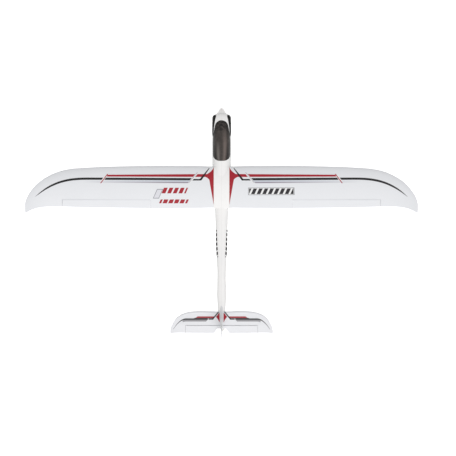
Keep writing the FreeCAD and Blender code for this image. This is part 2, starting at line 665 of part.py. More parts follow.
def make_equipment(shelf):
    """Battery, receiver, the two hull servos and their leads."""
    floor = TRAY_Z + TRAY
    wide, long, high = BATTERY
    battery = box((-wide / 2, BATTERY_STATION, floor), (wide / 2, BATTERY_STATION + long, floor + high))
    battery = battery.makeFillet(4, [e for e in battery.Edges if abs(e.BoundBox.YLength - long) < 0.1])
    export("battery", battery)
    strap_at = BATTERY_STATION + long / 2
    over = box((-wide / 2 - 1, strap_at - 8, floor), (wide / 2 + 1, strap_at + 8, floor + high + 1))
    over = over.makeFillet(4, [e for e in over.Edges if abs(e.BoundBox.YLength - 16) < 0.1
                               and e.BoundBox.ZMin > floor + 1])
    export("battery_strap", over.cut(box((-wide / 2, 0, 0), (wide / 2, 400, floor + high))))
    wide, long, high = RECEIVER
    receiver = box((-wide / 2, RECEIVER_STATION, floor), (wide / 2, RECEIVER_STATION + long, floor + high))
    export("receiver", receiver.makeFillet(2, receiver.Edges))

    wires = ((1, "elevator", elevator_wire()), (-1, "rudder", rudder_wire()))
    for side, name, (front, back, sag) in wires:
        at = FreeCAD.Placement(point(side * SERVO_X, SERVO_STATION, SERVO_TOP), FreeCAD.Rotation())
        shelf = shelf.cut(placed(servo(0.2), at))
        export(name + "_servo", placed(servo(), at))
        reach = ELEVATOR_ARM if side > 0 else RUDDER_ARM
        arm = servo_arm(reach, WIRE + sag + SWING_GAP)
        if side < 0:
            arm = mirrored(arm)
        export(name + "_servo_arm", placed(arm, at))
        leg = Vector(0, 0, BLADE + 2)
        export(name + "_pushrod", pushrod(front, back, leg))
    export("servo_shelf", shelf)

    plug_y, plug_z = RECEIVER_STATION + RECEIVER[1], floor + RECEIVER[2] / 2
    case_z = SERVO_TOP - SERVO_HEIGHT + 4
    routes = wing_lead_routes()
    for side in (1, -1):
        routes.append([point(side * 20, SERVO_STATION - SERVO_SHAFT_IN, case_z),
                       point(side * 20, 290, case_z), point(side * 7, 256, plug_z + 4),
                       point(side * 7, plug_y, plug_z)])
    nose_end = BATTERY_STATION + BATTERY[1]
    battery_run = [point(6, nose_end, floor + 9), point(6, nose_end + 12, floor + 9),
                   point(2, RECEIVER_STATION - 8, floor + 7), point(2, RECEIVER_STATION, floor + 7)]
    leads = [lead(route, LEAD_RADIUS, LEAD_BEND) for route in routes] + [lead(battery_run, 1.3, 5.0)]
    export("receiver_leads", Part.makeCompound(leads))


def make_wings(panel, frame):
    """Both panels, each with its rib, tube, servo, aileron and linkage."""
    kept, lost = aileron_blocks(frame)
    rib = panel.common(box((0, 200, 0), (WING_ROOT_X + RIB, 600, 300)))
    foam = panel.cut(box((0, 200, 0), (WING_ROOT_X + RIB, 600, 300)))
    spar = (tube_line(TUBE_START_X), tube_line(TUBE_END_X))
    bore = rod(spar[0], spar[1], TUBE_RADIUS)
    tongue = box((22, 420, WING_Z + 1), (WING_ROOT_X, 432, WING_Z + 4))
    rib = rib.cut(bore).fuse(tongue)

    axis_at = FreeCAD.Placement(Vector(-ARM_RISE - BLADE / 2, -LINK_LENGTH, -LINK_DROP),
                                FreeCAD.Rotation(Vector(0, 0, 1), Vector(1, 0, 0)))
    case = placed(servo(), axis_at)
    room = placed(servo(0.3), axis_at)
    swing = local_box((-ARM_RISE - 2, -LINK_LENGTH - 11, -LINK_DROP - 20),
                      (6, -LINK_LENGTH + 11, -LINK_DROP + 5.6))
    below = room.fuse([placed_down(room, 3), placed_down(room, 6), swing])
    cover_low = -LINK_DROP - SERVO_WIDTH / 2 - 2.6
    cover = local_box((-32, -LINK_LENGTH - 15, cover_low), (9, -LINK_LENGTH + 26, cover_low + 1.2))
    cover = cover.makeFillet(5, [e for e in cover.Edges if abs(e.BoundBox.ZLength - 1.2) < 0.01])
    slot = local_box((-3, -LINK_LENGTH - 10, -40), (5.5, -LINK_LENGTH + 10, 0))
    recess = local_box((-32, -LINK_LENGTH - 15, -40), (9, -LINK_LENGTH + 26, cover_low + 1.2))
    channel = rod(Vector(-30, -LINK_LENGTH + 8, -6), Vector(-390, -LINK_LENGTH + 8, -6), 1.6)
    cuts = [placed(s, frame) for s in (below, recess, channel)]
    wing = foam.cut(lost).cut(bore).cut(cuts)
    wire_lead = rod(Vector(-32, -LINK_LENGTH + 8, -6), Vector(-374.5, -LINK_LENGTH + 8, -6), 1.2)

    hole = 0.75 + RUN_GAP
    arm = servo_arm(AILERON_ARM, WIRE + RUN_GAP)
    arm = placed(arm, axis_at.multiply(arm_down()))
    link = Vector(0, -LINK_LENGTH, -LINK_DROP)
    horn_hole = Vector(WIRE_OFFSET, 0, -AILERON_ARM)
    arm_hole = horn_hole + link
    blade = horn(AILERON_ARM, 7.0, AILERON_SKIN, hole)
    rod_shape = pushrod(arm_hole, horn_hole, Vector(WIRE_OFFSET + 2, 0, 0))
    grip = connector(WIRE_OFFSET, WIRE)
    grip.rotate(Vector(), Vector(1, 0, 0), math.degrees(math.atan2(LINK_DROP, LINK_LENGTH)))
    grip.translate(Vector(0, 0, -AILERON_ARM))
    aileron = panel.common(kept).cut(placed(blade, frame))

    shapes = {
        "wing": solid_of(wing), "wing_rib": rib, "aileron": solid_of(aileron),
        "spar_tube": tube(spar[0], spar[1], TUBE_RADIUS, TUBE_RADIUS - TUBE_WALL),
        "aileron_servo": placed(case, frame), "aileron_servo_arm": placed(arm, frame),
        "aileron_horn": placed(blade, frame), "servo_cover": placed(cover.cut(slot), frame),
        "aileron_pushrod": placed(rod_shape, frame), "aileron_connector": placed(grip, frame),
        "aileron_lead": placed(wire_lead, frame),
    }
    for name, shape in shapes.items():
        export(name + "_left", shape)
        export(name + "_right", mirrored(shape))


def placed_down(shape, depth):
    copy = shape.copy()
    copy.translate(Vector(0, 0, -depth))
    return copy


def arm_down():
    """Turn about the output axis that points an aileron servo's arm downwards."""
    return FreeCAD.Placement(Vector(), FreeCAD.Rotation(Vector(0, 0, 1), 180))


def solid_of(shape):
    return max(shape.Solids, key=lambda s: s.Volume)


def make_tail(outer, tailplane, fin, foot, shafts):
    """Tailplane, elevator, fin, rudder and their linkage ends."""
    block = elevator_block()
    span = box((-ELEVATOR_X, ELEVATOR_HINGE - HINGE_GAP, 0), (ELEVATOR_X, FAR, 200))
    fixed = tailplane.cut(span).cut(shafts)
    elevator = tailplane.common(block)

    upper = fin.cut(outer).cut(tailplane)
    upper = upper.cut(box((-20, RELIEF_FRONT, 0), (20, FAR, RELIEF[1])))
    upper = upper.common(box((-20, 800, 0), (20, TAIL_POST, 400)))
    insert = box((-2.6, SCREW_STATIONS[0] - 6, TAIL_Z + TAIL_HALF),
                 (2.6, SCREW_STATIONS[1] + 6, TAIL_Z + 14)).cut(shafts)
    upper = solid_of(upper.cut(box((-2.6, SCREW_STATIONS[0] - 6, 0),
                                   (2.6, SCREW_STATIONS[1] + 6, TAIL_Z + 14))))
    wedge = double_bevel(RUDDER_HINGE, 12, 0, 400)
    rudder = fin.common(box((-20, RUDDER_HINGE - 40, FIN[0][0]), (20, FAR, 400))).fuse(foot).common(wedge)

    sag = elevator_wire()[2]
    at = FreeCAD.Placement(point(ELEVATOR_LINK_X - WIRE_OFFSET, ELEVATOR_HINGE, TAIL_Z),
                           FreeCAD.Rotation())
    blade = placed(horn(ELEVATOR_ARM, 5.0, TAIL_HALF - 0.2, 0.75 + RUN_GAP), at)
    export("elevator_horn", blade)
    grip = connector(WIRE_OFFSET, WIRE + sag + SWING_GAP)
    grip.translate(Vector(0, 0, -ELEVATOR_ARM))
    export("elevator_connector", placed(grip, at))

    sag = rudder_wire()[2]
    upright = FreeCAD.Rotation(Vector(0, 0, 1), Vector(0, 1, 0), Vector(1, 0, 0), "ZYX")
    at = FreeCAD.Placement(point(0, RUDDER_HINGE, RUDDER_LINK_Z - WIRE_OFFSET), upright)
    side_blade = placed(horn(RUDDER_ARM, 5.0, FIN_HALF - 0.4, 0.75 + RUN_GAP), at)
    export("rudder_horn", side_blade)
    grip = connector(WIRE_OFFSET, WIRE + sag + SWING_GAP)
    grip.translate(Vector(0, 0, -RUDDER_ARM))
    export("rudder_connector", placed(grip, at))

    export("tailplane", fixed)
    export("elevator", solid_of(elevator.cut(blade)))
    export("fin", upper)
    export("fin_insert", insert)
    export("rudder", solid_of(rudder.cut(side_blade)))


def main():
    os.makedirs("parts", exist_ok=True)
    outer = hull()
    panel = wing_panel()
    tailplane = tailplane_blank()
    fin = fin_blank(FIN)
    foot = fin_blank([(z, -20, behind) for z, behind in RUDDER_FOOT])
    export("nose_cone", nose_cone())
    shelf, shafts = make_fuselage(outer, panel, tailplane)
    make_canopy(outer)
    make_equipment(shelf)
    frame = hinge_frame(panel)
    make_wings(panel, frame)
    make_tail(outer, tailplane, fin, foot, shafts)


main()
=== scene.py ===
"""A white foam radio-control glider with red, black and silver trim, built on its frame.

Places are in metres: x along the span with the pilot's left wing at +x, y aft, z up.
Trim is laid out in millimetres: reach is the distance out from the middle, station the
distance aft of the nose tip, and height the distance above the ground.
"""
import json
import math
import bmesh
import bpy
import numpy as np
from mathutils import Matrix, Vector


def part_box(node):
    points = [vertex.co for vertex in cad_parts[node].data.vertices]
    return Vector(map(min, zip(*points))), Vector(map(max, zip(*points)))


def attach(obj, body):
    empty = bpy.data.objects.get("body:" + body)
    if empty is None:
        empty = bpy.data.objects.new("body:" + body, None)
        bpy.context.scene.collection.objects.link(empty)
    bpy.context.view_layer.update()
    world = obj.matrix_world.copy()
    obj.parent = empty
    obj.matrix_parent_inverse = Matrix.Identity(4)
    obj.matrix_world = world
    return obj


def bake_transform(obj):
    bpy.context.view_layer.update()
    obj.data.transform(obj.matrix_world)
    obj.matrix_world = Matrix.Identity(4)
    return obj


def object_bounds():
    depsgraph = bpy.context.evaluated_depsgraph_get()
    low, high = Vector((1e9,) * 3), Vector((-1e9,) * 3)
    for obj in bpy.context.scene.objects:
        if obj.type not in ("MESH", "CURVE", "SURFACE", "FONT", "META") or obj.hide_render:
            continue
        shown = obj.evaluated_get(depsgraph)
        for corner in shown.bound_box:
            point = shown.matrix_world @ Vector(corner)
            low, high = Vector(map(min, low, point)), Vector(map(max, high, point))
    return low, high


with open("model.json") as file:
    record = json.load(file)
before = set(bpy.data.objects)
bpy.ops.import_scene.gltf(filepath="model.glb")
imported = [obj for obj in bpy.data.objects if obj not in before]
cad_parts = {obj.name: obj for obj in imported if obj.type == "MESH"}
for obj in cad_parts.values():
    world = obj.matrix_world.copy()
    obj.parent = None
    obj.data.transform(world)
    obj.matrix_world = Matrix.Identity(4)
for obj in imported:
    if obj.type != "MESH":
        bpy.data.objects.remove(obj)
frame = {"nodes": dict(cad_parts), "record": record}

cad_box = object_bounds()
nodes = frame["nodes"]
NOSE_Y = cad_box[0][1]


# ---- Fuselage halves ---------------------------------------------------------------
# Left and right mouldings of white bead foam, glued along the upright middle seam.
# The beads show as faint cells; black cheeks and rows of short bars are film on the flanks.
class Reading:
    """One output socket of a shader node; arithmetic on it adds the Math nodes it needs."""

    def __init__(self, finish, socket):
        self.finish = finish
        self.socket = socket

    def sum(self, operation, *values):
        return self.finish.node("Math", {"operation": operation}, values)

    def __add__(self, other):
        return self.sum("ADD", self, other)

    def __sub__(self, other):
        return self.sum("SUBTRACT", self, other)

    def __mul__(self, other):
        return self.sum("MULTIPLY", self, other)

    def __truediv__(self, other):
        return self.sum("DIVIDE", self, other)

    def __pow__(self, other):
        return self.sum("POWER", self, other)

    def __and__(self, other):
        return self.sum("MINIMUM", self, other)

    def __or__(self, other):
        return self.sum("MAXIMUM", self, other)

    def __rsub__(self, other):
        return self.sum("SUBTRACT", other, self)

    def __rtruediv__(self, other):
        return self.sum("DIVIDE", other, self)

    def __abs__(self):
        return self.sum("ABSOLUTE", self)

    __radd__ = __add__
    __rmul__ = __mul__


class Finish:
    """A material with one Principled shader, built up a node at a time."""

    def __init__(self, name, **constants):
        self.material = bpy.data.materials.new(name)
        self.material.use_nodes = True
        self.tree = self.material.node_tree
        self.shader = self.tree.nodes["Principled BSDF"]
        for socket, value in constants.items():
            self.shader.inputs[socket.replace("_", " ")].default_value = value

    def node(self, kind, settings, sockets, output=0):
        """Adds a node, sets it up, then fills its sockets with values or links."""
        made = self.tree.nodes.new("ShaderNode" + kind)
        for name, value in settings.items():
            setattr(made, name, value)
        for key, value in (sockets.items() if isinstance(sockets, dict) else enumerate(sockets)):
            self.feed(made.inputs[key], value)
        return Reading(self, made.outputs[output])

    def feed(self, socket, value):
        """Links a reading to a socket, or sets the socket to a plain value."""
        if isinstance(value, Reading):
            self.tree.links.new(value.socket, socket)
        else:
            socket.default_value = value

    def mix(self, share, first, second):
        """The first colour where share is 0, the second where it is 1."""
        return self.node("Mix", {"data_type": "RGBA"}, {0: share, 6: first, 7: second}, 2)

    def inside(self, depth, softness=0.8):
        """1 where a depth in millimetres is positive, 0 where it is negative, with a soft edge."""
        return self.node("Math", {"operation": "MULTIPLY_ADD", "use_clamp": True},
                         (depth, 1 / softness, 0.5))

    def place(self, stretch=(1.0, 1.0, 1.0)):
        """The point on the piece, in metres, stretched along each axis."""
        point = self.node("TexCoord", {}, (), "Object")
        return self.node("Mapping", {}, {"Vector": point, "Scale": stretch})

    def measures(self):
        """Side (signed), reach, station and height of the point, in millimetres."""
        point = self.place()
        axes = [self.node("SeparateXYZ", {}, (point,), axis) for axis in "XYZ"]
        side = axes[0] * 1000
        return side, abs(side), (axes[1] - NOSE_Y) * 1000, axes[2] * 1000

    def noise(self, scale, detail=3.0, stretch=(1.0, 1.0, 1.0)):
        """A cloudy value from 0 to 1, with the given number of clouds per metre."""
        sockets = {"Vector": self.place(stretch), "Scale": scale, "Detail": detail}
        return self.node("TexNoise", {}, sockets)

    def cells(self, scale):
        """Distance to the nearest edge in a packing of round cells."""
        sockets = {"Vector": self.place(), "Scale": scale}
        return self.node("TexVoronoi", {"feature": "DISTANCE_TO_EDGE"}, sockets, "Distance")

    def zigzag(self, value, step):
        """Climbs from 0 to the step and back again, over and over, as the value grows."""
        return self.node("Math", {"operation": "PINGPONG"}, (value, step))

    def lift(self):
        """How far the face looks up: 1 for straight up, 0 for sideways, -1 for down."""
        facing = self.node("NewGeometry", {}, (), "Normal")
        return self.node("SeparateXYZ", {}, (facing,), "Z")

    def end(self, colour, roughness, height, distance):
        """Links colour and roughness, and a bump of the given depth in metres."""
        self.feed(self.shader.inputs["Base Color"], colour)
        self.feed(self.shader.inputs["Roughness"], roughness)
        bump = self.node("Bump", {}, {"Height": height, "Distance": distance, "Strength": 0.5})
        self.feed(self.shader.inputs["Normal"], bump)
        return self


def tint(red, green, blue):
    """A colour given in display parts out of 255, as linear light with full alpha."""
    parts = np.array([red, green, blue]) / 255
    return (*np.where(parts < 0.04045, parts / 12.92, ((parts + 0.055) / 1.055) ** 2.4), 1.0)


def dress(finish, *names):
    """Puts a finish on every material slot of the named pieces."""
    for name in names:
        for place in nodes[name].material_slots:
            place.material = finish.material


WHITE = tint(240, 240, 240)
RED = tint(168, 32, 46)
BLACK = tint(30, 27, 29)
BEADS = 240                 # foam beads per metre
CHEEK_FRONT = 37.0          # station where the black cheeks start
CHEEK_CLOSING = (34.0, 104.0)   # station from which their edges close, and over what length
BAR_STATIONS = (577.0, 704.0)
BAR_HEIGHTS = (58.0, 85.0)
BAR_STEP = 11.0             # half of the distance from one bar to the next


def foam_skin(finish, white=WHITE, side_shade=0.5):
    """White bead foam: the colour, a roughness and a height between 0 and 1.

    Bead edges lie a little lower and darker, and a slow noise shifts the tone. Faces
    that look sideways are mixed towards grey as painted shade.
    """
    edges = finish.inside(finish.cells(BEADS) * 10 - 0.45, 1.0)
    cloud = finish.noise(9, 4)
    pits = finish.noise(900, 2)
    toned = finish.mix(cloud * 0.35, white, tint(226, 228, 232))
    colour = finish.mix((1 - edges) * 0.10, toned, tint(205, 206, 210))
    # Painted shade: faces that look sideways are mixed towards grey.
    sideways = finish.inside(0.62 - abs(finish.lift()), 0.7)
    colour = finish.mix(sideways * side_shade, colour, tint(176, 178, 176))
    return colour, 0.42 + cloud * 0.16 + pits * 0.06, edges * 0.8 + pits * 0.25


hull = Finish("hull_bead_foam", Specular_IOR_Level=0.1)
colour, roughness, height = foam_skin(hull, tint(254, 252, 250), 0.6)
_, reach, station, level = hull.measures()
# The cheek film runs back from the nose, its lower edge rising to meet the upper one.
cheek_run = ((station - CHEEK_CLOSING[0]) | 0) / CHEEK_CLOSING[1]
cheek_top = 76 + cheek_run * 9
cheek_foot = 22 + 61 * cheek_run ** 3
cheek = (cheek_top - level) & (level - cheek_foot) & (station - CHEEK_FRONT) & (reach - 26)
colour = hull.mix(hull.inside(cheek), colour, tint(6, 5, 6))
# Slanted black bars run along both flanks of the boom.
along = station + level * 0.35
row = (station - BAR_STATIONS[0]) & (BAR_STATIONS[1] - station) & (reach - 12)
band = (level - BAR_HEIGHTS[0]) & (BAR_HEIGHTS[1] - level)
bars = (hull.zigzag(along, BAR_STEP) - 3.4) & row & band
colour = hull.mix(hull.inside(bars), colour, tint(20, 18, 20))
# The glue seam shows as a hairline along the middle of the back and the belly.
seam = hull.inside(0.22 - reach, 0.3)
colour = hull.mix(seam * 0.35, colour, tint(150, 148, 146))
# Landings leave brown streaks along the lowest part of the belly.
streaks = hull.noise(60, 4, (1.0, 0.12, 1.0))
scuff = hull.inside(16 - level, 14) * hull.inside(streaks * 10 - 5.2, 2)
colour = hull.mix(scuff * 0.5, colour, tint(150, 140, 124))
hull.end(colour, roughness + scuff * 0.2, height - seam * 2, 0.00012)
dress(hull, "fuselage_left", "fuselage_right")


# ---- Nose cone ---------------------------------------------------------------------
# A separate white moulding in plain nylon, a shade greyer than the foam, pushed on to
# the front. Its tip is dulled and lightly scratched by landings.
cone = Finish("nose_cone_plastic", Specular_IOR_Level=0.45)
scratches = cone.noise(420, 3, (1.0, 0.06, 1.0))
tip = cone.inside(14 - cone.measures()[2], 14)
colour = cone.mix(cone.noise(14) * 0.4, tint(252, 250, 248), tint(242, 240, 239))
colour = cone.mix(tip * cone.inside(scratches * 10 - 5.6, 1) * 0.5, colour, tint(176, 172, 168))
cone.end(colour, 0.3 + tip * 0.25 + scratches * 0.1, scratches, 0.00006)
dress(cone, "nose_cone")


# ---- Canopy ------------------------------------------------------------------------
# A smoked hood of thin moulded foam with a glossy flow-mottled skin, glued to a flat
# dark frame whose two pegs drop into clips in the fuselage.
smoke = Finish("canopy_smoke", Specular_IOR_Level=0.25, Coat_Weight=0.1, Coat_Roughness=0.25)
side, reach, station, _ = smoke.measures()
mottle = smoke.noise(95, 5)
flow = smoke.noise(34, 4, (1.0, 0.18, 1.0))
front = smoke.inside(112 - station, 30)
patches = smoke.inside(mottle * 10 - 4.9, 1.6) * (0.25 + front * 0.75)
colour = smoke.mix(flow, tint(60, 56, 54), tint(88, 80, 76))
colour = smoke.mix(patches, colour, tint(30, 28, 27))
# Painted highlights: two soft bands of light along the crown, stronger towards the rear.
left_highlight = smoke.inside(7 - abs(side - 17), 10) * smoke.inside(station - 190, 70)
right_highlight = smoke.inside(7 - abs(side + 15), 10) * smoke.inside(station - 130, 90)
colour = smoke.mix(left_highlight * 0.6, colour, tint(136, 130, 126))
colour = smoke.mix(right_highlight * 0.5, colour, tint(140, 126, 120))
# Painted shade darkens the rim of the hood, where its sides fall steeply to the foot.
rim_shade = smoke.inside(reach + abs(station - 160) * 0.16 - 33, 14)
colour = smoke.mix(rim_shade * 0.85, colour, tint(20, 18, 18))
smoke.end(colour, 0.33 + mottle * 0.18, mottle, 0.0002)
dress(smoke, "canopy_shell")

dark_foam = Finish("canopy_frame_foam", Specular_IOR_Level=0.3)
grain = dark_foam.cells(340)
colour = dark_foam.mix(grain, tint(58, 55, 54), tint(88, 84, 82))
dark_foam.end(colour, 0.72 + grain * 0.2, grain, 0.0002)
dress(dark_foam, "canopy_frame")


# ---- Wing panels and ailerons ------------------------------------------------------
# Foam panels with a plastic rib at the root and film trim on the upper side only: a red
# and a black stripe, a silver shadow line, a red root flare and a plain block of bars.
STRIPE_STATION = 341.6      # middle of the black stripe at the root
SWEEP_START = 600.0         # reach where the stripe starts to sweep aft along the tip
SWEEP_RUN = 258.0
SWEEP_DROP = 89.0
GAP_LINE = ((110, 309), (150, 358))     # white gap that cuts the stripes near the root
ELBOW_LINE = ((60, 293), (97, 343))     # black diagonal inboard of the gap
SLASH_LINE = ((529, 322), (557, 360))   # red slash at the outer end of the red stripe
RED_FRONT = 316.2           # edges of the red stripe at the root
RED_REAR = 330.6
FLARE_REACH = (37.0, 35.0)  # reach of the root flare at its front and rear ends
AILERON_REACH = (531.0, 202.0)          # middle and half length of the aileron


def line_depth(reach, station, start, end):
    """Distance out from the line through two (reach, station) points, positive outboard."""
    run, drop = end[0] - start[0], end[1] - start[1]
    return ((reach - start[0]) * drop - (station - start[1]) * run) / math.hypot(run, drop)


def wing_trim(finish, colour):
    """The film on the upper side of a wing panel, laid over the given colour."""
    side, reach, station, _ = finish.measures()
    upper = finish.inside(finish.lift() - 0.3, 0.1)

    def lay(under, depth, film, strength=1.0):
        return finish.mix(finish.inside(depth) * upper * strength, under, film)

    sweep = ((reach - SWEEP_START) | 0) / SWEEP_RUN
    centre = STRIPE_STATION - reach * 0.0022 + SWEEP_DROP * sweep ** 2.8
    off = station - centre
    gap = line_depth(reach, station, *GAP_LINE)
    elbow = line_depth(reach, station, *ELBOW_LINE)
    slash = line_depth(reach, station, *SLASH_LINE)
    # The silver shadow fades out towards the tip and turns forward at its inner end.
    fade = finish.inside(430 - reach, 420)
    silver = (off - 5.5) & (16 - off) & (gap - 1) & (870 - reach)
    colour = lay(colour, silver, tint(206, 211, 220), fade)
    shadow = (off - 12.5) & (18.5 - off) & (gap - 0.5) & (760 - reach)
    colour = lay(colour, shadow, tint(160, 152, 164), fade)
    # The black stripe narrows to a point along the tip.
    half = 5.4 - reach * 0.0005 - 4.9 * (((reach - 640) | 0) / 215) ** 6
    colour = lay(colour, (half - abs(off)) & (gap - 4.5), BLACK)
    # The red stripe ends at the slash, and at the root it opens into a flare on both sides.
    stripe = (station - (RED_FRONT + reach * 0.0105)) & (RED_REAR - station) & (reach - 50)
    stripe = stripe & (0 - slash)
    flare_front = FLARE_REACH[0] + 28 * (((station - 280) | 0) / 36) ** 2 - reach
    flare_rear = FLARE_REACH[1] + (468 - station) * 0.177 - reach
    flare_rear = flare_rear + 20 * (((346 - station) | 0) / 18) ** 2
    flare = (flare_front & (330 - station) & (station - 284)) | (flare_rear & (station - 326))
    colour = lay(colour, stripe | (flare & (reach - 34.6)), RED)
    # The white gap cuts both stripes; a grey hairline runs along it, and the black elbow
    # inboard of it joins a short stretch of the black stripe.
    colour = lay(colour, (3.8 - abs(gap)) & (station - 310) & (360 - station), WHITE)
    hairline = (1.6 - abs(gap - 1.2)) & (station - 309) & (358 - station)
    colour = lay(colour, hairline, tint(186, 184, 190))
    taper = 1.6 + (station - 290) * 0.064
    colour = lay(colour, (taper - abs(elbow)) & (station - 289) & (345 - station), BLACK)
    colour = lay(colour, (3.6 - abs(station - 343.6)) & (reach - 94) & (-4.5 - gap), BLACK)
    # A red and white slash crosses the black stripe where the red one ends.
    colour = lay(colour, (4.6 - abs(slash)) & (station - 326) & (352 - station), WHITE)
    colour = lay(colour, (1.9 - abs(slash + 0.8)) & (station - 318) & (361 - station), RED)
    # The moulding leaves a fine grey cut at each end of the aileron.
    cut = (1.1 - abs(abs(reach - AILERON_REACH[0]) - AILERON_REACH[1])) & (station - 437)
    colour = lay(colour, cut, tint(196, 196, 202))
    return wing_marks(finish, colour, lay, side, reach, station)


def wing_marks(finish, colour, lay, side, reach, station):
    """Plain slanted bars: red and grey ones on the left panel, a framed dark row on the right."""
    slant = side - (station - 415) * 0.45
    beat = finish.zigzag(slant, 13.0)
    left = side
    right = 0 - side
    row = (13 - abs(station - 394)) & (slant - 170) & (282 - slant) & left
    colour = lay(colour, row & (beat - 4.2), RED)
    row = (9 - abs(station - 444)) & (slant - 143) & (273 - slant) & left
    colour = lay(colour, row & (beat - 3.0), RED)
    block = (22 - abs(station - 409)) & (slant - 283) & (311 - slant) & left
    colour = lay(colour, block, tint(150, 150, 158))
    colour = lay(colour, block - 3, tint(224, 224, 230))
    plate = (17 - abs(station - 397.5)) & (107 - abs(reach - 230.5)) & right
    colour = lay(colour, plate, tint(92, 92, 98))
    colour = lay(colour, plate - 1.8, WHITE)
    return lay(colour, (plate - 4) & (beat - 4.6), tint(44, 42, 46))


def wing_foam(name, trimmed):
    """Wing foam, with or without the film."""
    finish = Finish(name, Specular_IOR_Level=0.35)
    colour, roughness, height = foam_skin(finish, tint(238, 239, 242))
    if trimmed:
        colour = wing_trim(finish, colour)
    return finish.end(colour, roughness, height, 0.00012)


dress(wing_foam("wing_foam_trimmed", True), "wing_left", "wing_right")
dress(wing_foam("aileron_foam", False), "aileron_left", "aileron_right")


# ---- Tailplane, elevator, fin and rudder -------------------------------------------
# Solid foam plates with round noses. The tailplane carries the wing's trim once more,
# smaller: a black tip stripe over a grey one, a red stripe and a red flare at the fin.
TAIL_STRIPE = 993.6         # middle of the tailplane's black stripe
TAIL_SWEEP = (166.0, 58.0)  # reach where that stripe turns aft, and over what distance
TAIL_GAP_LINE = ((62, 994), (74, 1006))
TAIL_ELBOW_LINE = ((14, 960), (41, 993))
ELEVATOR_END = 168.6        # reach of the cut at each end of the elevator


def tail_trim(finish, colour):
    """The film on the tailplane's upper side, laid over the given colour."""
    _, reach, station, _ = finish.measures()
    upper = finish.inside(finish.lift() - 0.3, 0.1)

    def lay(under, depth, film):
        return finish.mix(finish.inside(depth) * upper, under, film)

    sweep = ((reach - TAIL_SWEEP[0]) | 0) / TAIL_SWEEP[1]
    off = station - (TAIL_STRIPE + 45 * sweep ** 2)
    gap = line_depth(reach, station, *TAIL_GAP_LINE)
    grey = (off - 3.2) & (11.5 - off) & gap & (182 - reach)
    colour = lay(colour, grey, tint(158, 156, 160))
    black = (3.3 - 2.2 * sweep - abs(off)) & (reach - 64) & (226 - reach)
    colour = lay(colour, black, tint(52, 50, 52))
    red = (station - 981) & (987.8 - station) & (reach - 36) & (121 - reach - (987 - station) * 1.6)
    colour = lay(colour, red, RED)
    shadow = (1.5 - abs(station - 989.6)) & (reach - 39) & (128 - reach)
    colour = lay(colour, shadow, tint(70, 50, 54))
    elbow = line_depth(reach, station, *TAIL_ELBOW_LINE)
    colour = lay(colour, (2.6 - abs(elbow)) & (station - 960) & (996 - station), BLACK)
    colour = lay(colour, (2.5 - abs(station - 994)) & (reach - 39) & (61 - reach), BLACK)
    swell = (1 - abs(station - 983) / 24) | 0
    flare = (11.5 + 15 * swell ** 1.5 - reach) & (reach - 9) & (station - 966) & (1008 - station)
    colour = lay(colour, flare, RED)
    cut = (1.1 - abs(reach - ELEVATOR_END)) & (station - 1022)
    return lay(colour, cut, tint(176, 176, 180))


for name, trimmed, pieces in (("tail_foam_trimmed", True, ("tailplane",)),
                              ("tail_foam_plain", False, ("elevator", "fin", "rudder"))):
    tail = Finish(name, Specular_IOR_Level=0.35)
    colour, roughness, height = foam_skin(tail, tint(243, 243, 246))
    if trimmed:
        colour = tail_trim(tail, colour)
    else:
        # Painted shade darkens the bent rear edge of the rudder's upper half.
        _, _, station, level = tail.measures()
        edge_shade_front = 1078.4 - (level - 150) ** 2 * 0.0014
        edge_shade = (station - edge_shade_front) & (236 - level) & (level - 150)
        colour = tail.mix(tail.inside(edge_shade), colour, tint(34, 34, 36))
    dress(tail.end(colour, roughness, height, 0.00012), *pieces)


# ---- Foam hinges -------------------------------------------------------------------
# Each control surface hangs on a strip of the same foam, left thin along the hinge line
# and grooved down its middle. The strips lie along the hinge lines of the ailerons,
# elevator and rudder.
STRIP_HALF = 0.0009
STRIP_FLEX = 0.0003         # half of the free gap that the strip spans
STRIP_END = 0.0005          # how far a strip stops short of the surface's ends
STRIP_ALONG = 25            # rows of points along a strip
STRIP_ACROSS = 9            # points across its upper side, and as many below
RUDDER_FOOT = 0.050         # height of the rudder strips' lower end
PASSAGE = (0.065, 0.0985)   # heights between the two rudder strips, where the elevator passes
web = Finish("hinge_strip_foam", Specular_IOR_Level=0.3)
colour, roughness, height = foam_skin(web, tint(222, 223, 228))
web.end(colour, roughness + 0.1, height, 0.00006)


def put(name, points, faces, finish):
    """A mesh piece with its place in its points, smoothly shaded, in one material."""
    mesh = bpy.data.meshes.new(name)
    mesh.from_pydata(points.reshape(-1, 3).tolist(), [], faces)
    mesh.shade_smooth()
    mesh.materials.append(finish.material)
    piece = bpy.data.objects.new(name, mesh)
    bpy.context.collection.objects.link(piece)
    return piece


def grid_faces(rows, around):
    """Quads of a closed-section sweep: rows of points, each row a loop, with end caps."""
    row, turn = np.meshgrid(np.arange(rows - 1), np.arange(around), indexing="ij")
    after = (turn + 1) % around
    quads = np.stack([row * around + turn, row * around + after,
                      (row + 1) * around + after, (row + 1) * around + turn], -1)
    caps = [list(range(around))[::-1], list(range((rows - 1) * around, rows * around))]
    return quads.reshape(-1, 4).tolist() + caps


def outward(piece):
    """Turns every face of a closed piece to point out."""
    mesh = piece.data
    form = bmesh.new()
    form.from_mesh(mesh)
    bmesh.ops.remove_doubles(form, verts=form.verts, dist=1e-6)
    bmesh.ops.recalc_face_normals(form, faces=form.faces)
    form.to_mesh(mesh)
    form.free()
    return piece


